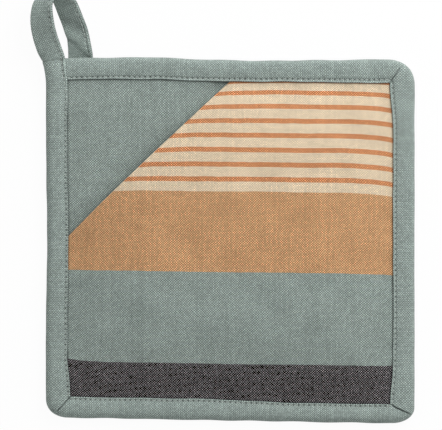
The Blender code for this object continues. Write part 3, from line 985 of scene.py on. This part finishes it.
def make_binding(material):
    """The tape folded round the edge, with mitred corners, as one closed ring."""
    stations = ring_stations()
    inset, height, length, face = binding_profile()
    columns = [values[:, None] for values in stations]
    rows = [values[None, :] for values in (inset, height, face)]
    points, (x, y), shade = binding_surface(columns, *rows)
    count, width = points.shape[:2]
    faces = grid_faces(count, width, wrap_rows=True, wrap_columns=True)

    corner, turn, along, _ = stations
    side = corner.copy()
    for index, (place, _, _, _) in MITRES.items():
        before = (corner == index) & (along == 0) & (turn < place - 1e-9)
        side[before] = (index - 1) % 4
    # Cloth coordinates run along the side and across the tape, and change over at a mitre.
    corner_uvs = np.zeros((count, width, 4, 2))
    lengths = np.append(length, length[-1] + TAPE)
    for number, (down, over) in enumerate(QUAD):
        at_row = (np.arange(count) + down) % count
        at_column = np.arange(width) + over
        wrapped = at_column % width
        place_x = x[at_row][:, wrapped]
        place_y = y[at_row][:, wrapped]
        level = (side % 2 == 0)[:, None]
        edge_gap = np.where(level, PAD_HEIGHT / 2 - np.abs(place_y), PAD_WIDTH / 2 - np.abs(place_x))
        spare = np.where(face[wrapped] >= 0, inset[wrapped] - edge_gap, edge_gap - inset[wrapped])
        corner_uvs[:, :, number, 0] = np.where(level, place_x, place_y)
        corner_uvs[:, :, number, 1] = lengths[at_column][None, :] + spare
    mesh = mesh_from("binding", points.reshape(-1, 3), faces.reshape(-1, 4).tolist(), corner_uvs, shade)
    return add_piece("binding", mesh, material)


# The hanging loop.


def smooth_through(points, steps):
    """A smooth curve through rows of numbers, each span of it in this many steps."""
    ends = np.concatenate(([2 * points[0] - points[1]], points, [2 * points[-1] - points[-2]]))
    curve = []
    for before, start, end, after in zip(ends, ends[1:], ends[2:], ends[3:]):
        for step in range(steps):
            t = step / steps
            line = (end - before) * t
            square = (2 * before - 5 * start + 4 * end - after) * t * t
            cube = (3 * start - 3 * end + after - before) * t ** 3
            curve.append(start + (line + square + cube) / 2)
    curve.append(points[-1])
    return np.array(curve)


def loop_course():
    """Stations of the loop as rows: its middle's x, y and z, tilt in degrees, wrap, and seam."""
    edge_y = PAD_HEIGHT / 2
    inner_y = edge_y - BINDING_WIDTH
    start_x = LOOP_INSET - PAD_WIDTH / 2
    lap_x = BINDING_WIDTH - (LOOP_WIDTH + PAD_WIDTH) / 2
    set_back_x = lap_x - LAP_SETBACK
    surface = BINDING_TOP - LOOP_THICK / 2
    rows = [
        (lap_x, inner_y - LAP_FADE, surface - 0.00015, 0, 1.0, 0.0010),
        (lap_x, inner_y - 0.67 * LAP_FADE, surface - 0.00010, 0, 1.0, 0.0010),
        (lap_x, inner_y - 0.33 * LAP_FADE, surface + 0.00010, 0, 1.0, 0.0011),
        (mix(lap_x, set_back_x, 0.3), inner_y, surface + 0.5 * LAP_LIFT, 0, 1.0, 0.0015),
        (mix(lap_x, set_back_x, 1.1), mix(inner_y, edge_y, 0.35), surface + 0.9 * LAP_LIFT, 0, 0.97, 0.00185),
        (mix(set_back_x, start_x, 0.5), mix(inner_y, edge_y, 0.7), surface + LAP_LIFT, 0, 0.85, 0.0019),
        (start_x, edge_y, surface + LAP_LIFT, 0, 0.55, 0.0019),
    ]
    for number, (across, along, up, tilt) in enumerate(LOOP_COURSE):
        wrap = 0.12 if number == 0 else 0.0
        lift = math.radians(tilt)
        resting = (LOOP_THICK + LOOP_WIDTH * math.sin(lift) + GAP) / 2
        height = max(resting, LOOP_THICK / 2 + up * LOOP_RISE)
        x = start_x + across * LOOP_SPREAD
        rows.append((x, edge_y + along * LOOP_REACH, height, tilt, wrap, 0.0020))
    seat_x = start_x + LOOP_SPREAD
    for share in (0.5, 1.0):
        rows.append((seat_x, edge_y - LOOP_SEAT * share, LOOP_THICK / 2 + 0.00005, 0, 0.0, 0.0020))
    return np.array(rows)


def unit(rows):
    """Rows of three numbers scaled to length 1."""
    return rows / np.linalg.norm(rows, axis=-1, keepdims=True)


def square_to(rows, tangent):
    """Rows turned square to these tangents, of length 1."""
    return unit(rows - (rows * tangent).sum(axis=-1, keepdims=True) * tangent)


def ribbon_frames():
    """Along the loop: lengths, its right edge, unit vectors along, to the right and out, wrap and seam."""
    course = smooth_through(loop_course(), COURSE_STEPS)
    tangent = unit(np.gradient(course[:, :3], axis=0))
    tilt = np.radians(course[:, 3])
    across = square_to(np.stack((np.cos(tilt), 0 * tilt, np.sin(tilt)), axis=-1), tangent)
    edge = course[:, :3] + across * (LOOP_WIDTH / 2)
    travelled = np.concatenate(([0.0], np.cumsum(np.linalg.norm(np.diff(edge, axis=0), axis=1))))
    even = np.linspace(0, travelled[-1], round(travelled[-1] / LOOP_STEP))
    columns = np.concatenate((edge, across, course[:, 4:]), axis=1).T
    columns = np.array([np.interp(even, travelled, column) for column in columns])
    edge, across, (wrap, seam) = columns[:3].T, columns[3:6].T, columns[6:]
    tangent = unit(np.gradient(edge, axis=0))
    across = square_to(across, tangent)
    return even, edge, tangent, across, np.cross(across, tangent), wrap, seam


def ribbon_point(frames, from_edge, out):
    """Points of the loop this far from its stitched edge and this far out of its middle surface."""
    _, edge, _, across, normal, wrap, _ = frames
    flat = BINDING_WIDTH - BINDING_ROUND
    radius = (BINDING_ROUND - LOOP_THICK / 2) / np.maximum(wrap, 1e-4)[:, None]
    bent = np.maximum(from_edge - flat, 0.0) / radius
    left = np.minimum(from_edge, flat) + radius * np.sin(bent)
    drop = radius * (1 - np.cos(bent))
    left = left + out * np.sin(bent)
    up = -drop + out * np.cos(bent)
    return edge[:, None, :] - across[:, None, :] * left[..., None] + normal[:, None, :] * up[..., None]


def loop_relief(frames, from_edge):
    """Seam groove and ridge of the loop's faces, and their painted shade and highlight. The lap's groove is
    sewn down.
    """
    seam = frames[6][:, None]
    along = frames[1][0, 1] + frames[0][:, None]
    sewn_from = PAD_HEIGHT / 2 - BINDING_WIDTH + 0.0005
    sewn = smoothstep((along - sewn_from) / 0.001) * (1 - smoothstep((along - PAD_HEIGHT / 2) / 0.001))
    holes = stitch_holes(frames[0][:, None] / STITCH_PITCH, 41)
    relief = front_shape(from_edge, 0.8 * holes, seam, GROOVE * (0.8 + 1.2 * sewn), 0.5)
    shade = front_shade(from_edge + 0.0003, 0.45 * holes, seam + 0.0003, 0.25 + 0.65 * sewn)
    return relief, shade


def loop_folds(frames, from_edge):
    """Soft folds of the loop where it leaves the pad and on its way back, and their painted light and shade.
    """
    even = frames[0][:, None]
    leaving = frames[1][0, 1] + even - PAD_HEIGHT / 2 - 0.0004
    dent = -0.0003 * bump(leaving, 0.0007)
    # Painted shade in the crease where the loop leaves the pad's edge.
    shade = 1 - 0.25 * bump(leaving, 0.0007)
    for start, slope, width, rise, change in BACK_FOLDS:
        past = (even - even[-1] + start + slope * from_edge) / math.hypot(1.0, slope)
        dent = dent - rise * bump(past, width)
        shade = shade * (1 + change * bump(past, width))
    return dent, shade


def make_loop(material):
    """The same tape folded flat: it runs on from the left side, over the corner and to the back."""
    frames = ribbon_frames()
    even = frames[0]
    face = [0.0, 0.0001, 0.0003, 0.0006, 0.0009, *np.arange(0.0012, 0.0023, 0.0002), 0.0025]
    face += list(np.linspace(0.0032, LOOP_WIDTH - LOOP_THICK / 2, 12))
    half = LOOP_THICK / 2
    rows = [(a, half, 1) for a in face]
    for step in range(1, FOLD_STEPS):
        angle = math.pi * step / FOLD_STEPS
        rows.append((LOOP_WIDTH - half + half * math.sin(angle), half * math.cos(angle), 0))
    rows += [(a, -half, -1) for a in reversed(face)]
    rows += [(0.0, -0.00035, 0), (0.0003, 0.0, 0), (0.0, 0.00035, 0)]
    from_edge, out, side = (np.array(column)[None, :] for column in zip(*rows))
    relief, shade = loop_relief(frames, from_edge)
    folds, fold_shade = loop_folds(frames, from_edge)
    # The loop's faces carry painted light and shade: their seam, folds and an overall lightening.
    shade = np.where(side != 0, LOOP_PAINTED_LIGHT * shade * fold_shade, 1.0)
    # Over the lap the face is rounded as the strip's is, and beyond it the ribbon is softly uneven.
    inset = BINDING_WIDTH - from_edge
    start_y = frames[1][0, 1]
    padding = strip_padding(inset, inset - PAD_WIDTH / 2, start_y + even[:, None])
    wrap = frames[5][:, None]
    soft = ripples(even[:, None], from_edge, *LOOP_RIPPLES) * smoothstep(1 - wrap / 0.5)
    out = out + relief * side + padding * wrap * (side > 0) + soft + folds
    points = ribbon_point(frames, from_edge, out)
    count, width = points.shape[:2]
    faces = grid_faces(count, width, wrap_columns=True)
    lengths = [a if side >= 0 else 2 * LOOP_WIDTH - a for a, _, side in rows]
    lengths = np.array(lengths + [2 * LOOP_WIDTH])
    corner_uvs = np.zeros((count - 1, width, 4, 2))
    for number, (down, over) in enumerate(QUAD):
        corner_uvs[:, :, number, 0] = (start_y + even)[np.arange(count - 1) + down][:, None]
        corner_uvs[:, :, number, 1] = lengths[np.arange(width) + over][None, :]
    faces = faces.reshape(-1, 4).tolist()
    mesh = mesh_from("hanging_loop", points.reshape(-1, 3), faces, corner_uvs, shade)
    filled = bmesh.new()
    filled.from_mesh(mesh)
    bmesh.ops.holes_fill(filled, edges=list(filled.edges), sides=0)
    bmesh.ops.recalc_face_normals(filled, faces=list(filled.faces))
    filled.to_mesh(mesh)
    filled.free()
    return add_piece("hanging_loop", mesh, material), frames


# Topstitching.


def add_threads(name, paths, material):
    """Short rounded lengths of thread, one for each path of points (n, m, 3) with normals."""
    centres, normals = paths
    tangents = unit(np.gradient(centres, axis=1))
    sides = unit(np.cross(tangents, normals))
    normals = np.cross(sides, tangents)
    around = THREAD_SIDES
    count, length = centres.shape[:2]
    taper = np.sin(np.linspace(0.30, math.pi - 0.30, length)) ** 0.35
    angle = 2 * math.pi * np.arange(around)[:, None] / around
    ring = sides[:, :, None] * np.cos(angle) + normals[:, :, None] * np.sin(angle)
    points = centres[:, :, None] + ring * (THREAD * taper)[:, None, None]
    face = grid_faces(length, around, wrap_columns=True).reshape(-1, 4)
    start = np.arange(count)[:, None, None] * length * around
    faces = (face[None] + start).reshape(-1, 4).tolist()
    for number in range(count):
        first = number * length * around
        faces.append(list(range(first, first + around))[::-1])
        last = first + (length - 1) * around
        faces.append(list(range(last, last + around)))
    mesh = bpy.data.meshes.new(name)
    mesh.from_pydata(points.reshape(-1, 3).tolist(), [], faces)
    mesh.shade_smooth()
    return add_piece(name, mesh, material)


def binding_stitches(front, seed):
    """Thread paths along the binding's four sides, on the front or the back."""
    draw = np.random.default_rng(seed)
    centres, normals = [], []
    side, level = (1, BINDING_TOP) if front else (-1, BINDING_BOTTOM)
    for corner in range(4):
        count = side_stitches(corner)
        place = np.arange(count)[:, None] + 0.5 + STITCH_STATIONS * STITCH_SHARE
        slant = draw.uniform(*STITCH_SLANT, count)[:, None] * STITCH_STATIONS * 2
        shape = place.shape
        stations = (np.full(shape, corner), np.ones(shape), place / count, place)
        inset = BINDING_WIDTH - seam_place(*stations[:3]) + slant
        surface = binding_surface(stations, inset, np.full(shape, level), np.full(shape, side))[0]
        surface[..., 2] += THREAD_RISE * side
        centres.append(surface)
        normals.append(np.broadcast_to(np.array((0.0, 0.0, float(side))), surface.shape))
    return np.concatenate(centres), np.concatenate(normals)


def loop_stitches(frames, side, first, last):
    """Thread paths along the loop's stitched edge, between two shares of its length."""
    even, edge, _, across, normal, _, seam = frames
    total = even[-1]
    numbers = np.arange(round(first * total / STITCH_PITCH), int(last * total / STITCH_PITCH))
    place = (numbers[:, None] + 0.5 + STITCH_STATIONS * STITCH_SHARE) * STITCH_PITCH
    depth = LOOP_THICK / 2 - GROOVE * 0.8
    middle = edge - across * seam[:, None] + side * normal * depth
    centres, normals = (
        np.stack([np.interp(place, even, column) for column in rows.T], axis=-1)
        for rows in (middle, side * normal)
    )
    return centres + normals * THREAD_RISE[:, None], normals


def tack_stitches():
    """Thread paths of the small tacks: the top seam's end over the lap, and the loop's seat."""
    seam_y = PAD_HEIGHT / 2 - BINDING_WIDTH + SEAM - TOP_SAG * 0.1
    over_lap = BINDING_TOP + LAP_LIFT * 0.75 + LAP_TACK_RISE * STITCH_ARCH
    tacks = [(at - PAD_WIDTH / 2, seam_y, over_lap, LAP_TACK, 1.0) for at in LAP_TACKS]
    seat_x = LOOP_INSET + LOOP_SPREAD - PAD_WIDTH / 2
    under = SEAT_TACK_DEPTH - SEAT_TACK_RISE * STITCH_ARCH
    for row in SEAT_TACK_ROWS:
        for number in range(4):
            x = seat_x + (number - 1.5) * STITCH_PITCH
            tacks.append((x, PAD_HEIGHT / 2 - LOOP_SEAT * row, under, STITCH_PITCH * STITCH_SHARE, -1.0))
    centres = [
        np.stack((x + STITCH_STATIONS * length, np.full_like(heights, y), heights), axis=-1)
        for x, y, heights, length, _ in tacks
    ]
    normals = [np.tile((0.0, 0.0, facing), (len(STITCH_STATIONS), 1)) for *_, facing in tacks]
    return np.array(centres), np.array(normals)


# Stage.


def make_camera():
    data = bpy.data.cameras.new("camera")
    data.sensor_fit = "HORIZONTAL"
    data.sensor_width = SENSOR
    data.lens = SENSOR * (VIEW_HEIGHT - BINDING_MIDDLE) / FRAME_WIDTH
    data.clip_start = 0.1
    data.clip_end = 10.0
    camera = add_object("camera", data)
    camera.location = (*VIEW_CENTRE, VIEW_HEIGHT)
    bpy.context.scene.camera = camera


def make_stage():
    """A white floor that shows as white to the camera and keeps a faint shadow, and soft light."""
    scene = bpy.context.scene
    scene.view_settings.view_transform = "Standard"
    mesh = bpy.data.meshes.new("floor")
    corners = [(2 * x - 1, 2 * y - 1) for y, x in QUAD]
    level = [(FLOOR_REACH * x, FLOOR_REACH * y, FLOOR_LEVEL) for x, y in corners]
    mesh.from_pydata(level, [], [(0, 1, 2, 3)])
    white = bpy.data.materials.new("white_floor")
    white.use_nodes = True
    graph = Graph(white.node_tree)
    white.node_tree.nodes.remove(white.node_tree.nodes["Principled BSDF"])
    paper = graph.node("ShaderNodeBsdfDiffuse", Color=(0.9, 0.9, 0.9, 1.0))
    glow = graph.node("ShaderNodeEmission", Color=(1.0, 1.0, 1.0, 1.0), Strength=1.0)
    seen = graph.number("ShaderNodeLightPath", "Is Camera Ray") * FLOOR_WHITE
    joined = graph.node("ShaderNodeMixShader")
    for socket, value in zip(joined.inputs, (seen, paper.outputs[0], glow.outputs[0])):
        graph.put(socket, value)
    graph.put(white.node_tree.nodes["Material Output"].inputs["Surface"], joined.outputs[0])
    mesh.materials.append(white)
    floor = add_object("floor", mesh)

    world = bpy.data.worlds.new("studio")
    scene.world = world
    world.use_nodes = True
    graph = Graph(world.node_tree)
    sky = world.node_tree.nodes["Background"]
    sky.inputs["Color"].default_value = (1.0, 1.0, 1.0, 1.0)
    path = graph.number("ShaderNodeLightPath", "Is Camera Ray")
    graph.put(sky.inputs["Strength"], mix(SKY, 1.0, path))

    for name, share, towards, distance, size in SOFTBOXES:
        lamp = bpy.data.lights.new(name, "AREA")
        direction = Vector(towards).normalized()
        lamp.energy = share * (math.pi * distance) ** 2 / direction.z
        lamp.size = size
        softbox = add_object(name, lamp)
        softbox.location = direction * distance
        softbox.rotation_mode = "QUATERNION"
        softbox.rotation_quaternion = direction.to_track_quat("Z", "Y")


def dress():
    """Makes every piece and hides the solid of model.glb that it stands for."""
    group = weave_group()
    striped = cloth_material("striped_cloth", group, striped_field)
    lining_cloth = cloth_material("lining_cloth", group, SAGE)
    tape = cloth_material("binding_tape_cloth", group, TAPE_CLOTH, ribs=0.12, relief=0.06)
    batting = plain_material("batting", BATTING)
    thread = plain_material("thread", SEWING_THREAD, 0.6)

    flat = (PAD_WIDTH - 2 * EDGE_INSET, PAD_HEIGHT - 2 * EDGE_INSET)

    back_mesh = flat_sheet("back_cloth", back_height, beside_tape, 1.4 * CLOTH_STEP)
    back = thicken(add_piece("back_cloth", back_mesh, lining_cloth), CLOTH)
    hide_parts("back_panel")

    lining_mesh = flat_sheet("lining_cloth", lining_height, beside_mouth, CLOTH_STEP)
    lining = thicken(add_piece("lining_cloth", lining_mesh, lining_cloth), CLOTH)
    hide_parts("lining")

    filling = make_wadding(batting)
    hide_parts("wadding")

    pocket = make_pocket(striped)
    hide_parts("front_pocket")
    cut_off = (MOUTH_ACROSS - EDGE_INSET) * (MOUTH_DOWN - EDGE_INSET) / 2
    doubled = 2 * (flat[0] * flat[1] - cut_off)

    binding = make_binding(tape)
    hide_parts("binding_tape")
    tape_length = 2 * (PAD_WIDTH + PAD_HEIGHT) - 4 * BINDING_WIDTH

    loop, frames = make_loop(tape)
    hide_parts("binding_tape")

    add_threads("front_stitches", binding_stitches(True, 51), thread)
    add_threads("back_stitches", binding_stitches(False, 52), thread)
    add_threads("loop_front_stitches", loop_stitches(frames, 1, *LOOP_FRONT_SEAM), thread)
    add_threads("loop_back_stitches", loop_stitches(frames, -1, *LOOP_BACK_SEAM), thread)
    add_threads("tack_stitches", tack_stitches(), thread)


make_camera()
make_stage()
dress()
